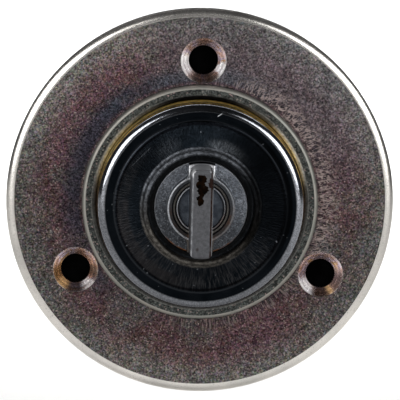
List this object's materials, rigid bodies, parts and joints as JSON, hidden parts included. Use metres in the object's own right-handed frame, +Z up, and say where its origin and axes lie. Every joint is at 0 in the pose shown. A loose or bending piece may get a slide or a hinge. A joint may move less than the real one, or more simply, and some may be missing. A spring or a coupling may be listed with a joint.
{
  "type": "rotary isolator switch",
  "caption": "Round flanged panel switch with a turning blade handle; a barrel cam behind the panel closes a copper bridge onto screw studs.",
  "frame": {"origin": "on the turning axis, in the panel plane (the flange's back face)", "axes": "the handle faces -Y, the terminal studs point to +Y, +Z is up along the blade when the switch is off, +X is to the right seen from the front"},
  "size_m": [0.075, 0.0846, 0.075],
  "materials": {
    "zinc_plate": "zinc plated pressed steel, fine grain, iridescent passivation",
    "dark_steel": "drawn steel with a dark polished face",
    "rubber": "black moulded rubber",
    "bright_steel": "turned or stamped bright steel",
    "dark_pin": "hardened and oiled steel",
    "bronze": "sintered bronze",
    "gold_zinc": "yellow passivated zinc on drawn steel",
    "phenolic": "dark moulded phenolic",
    "copper": "bare copper",
    "silver": "silver contact tips",
    "zinc_hardware": "zinc plated fasteners",
    "cast_grey": "sandy grey casting with worn edges",
    "nylon": "natural nylon"
  },
  "bodies": {
    "housing": {"flange": "zinc_plate", "panel_gasket": "rubber", "collar_gasket": "rubber", "cover_shell": "dark_steel", "shaft_seal": "rubber", "seal_retainer": "bright_steel", "bearing_plate": "bright_steel", "spindle_bush": "bronze", "rear_can": "gold_zinc", "cam_housing": "phenolic", "detent_balls": "bright_steel", "detent_springs": "bright_steel", "detent_screws": "dark_pin", "terminal_base": "phenolic", "terminal_studs": "copper", "fixed_contacts": "silver", "stud_washers": "zinc_hardware", "spring_washers": "zinc_hardware", "stud_nuts": "zinc_hardware"},
    "lever": {"handle": "cast_grey", "spindle": "bright_steel", "handle_pin": "dark_pin", "spindle_oring": "rubber", "thrust_washer": "nylon", "retaining_washer": "bright_steel", "circlip": "dark_pin", "cam_sleeve": "bright_steel", "cam_pin": "dark_pin"},
    "carriage": {"plunger": "bright_steel", "cross_pin": "dark_pin", "spring_seat": "bright_steel", "contact_spring": "bright_steel", "bridge_insulator": "phenolic", "contact_bridge": "copper", "moving_contacts": "silver", "insulating_washer": "phenolic", "bridge_nut": "zinc_hardware"}
  },
  "joints": [
    {"name": "lever_turn", "type": "hinge", "parent": "housing", "child": "lever", "pos_m": [0, 0, 0], "axis": [0, 1, 0], "range_deg": [0, 90]},
    {"name": "bridge_slide", "type": "slide", "parent": "housing", "child": "carriage", "axis": [0, 1, 0], "range_m": [0, 0.003]}
  ],
  "couplings": [
    {"joint": "lever_turn", "follows": "bridge_slide", "rad_per_m": 523.6}
  ]
}
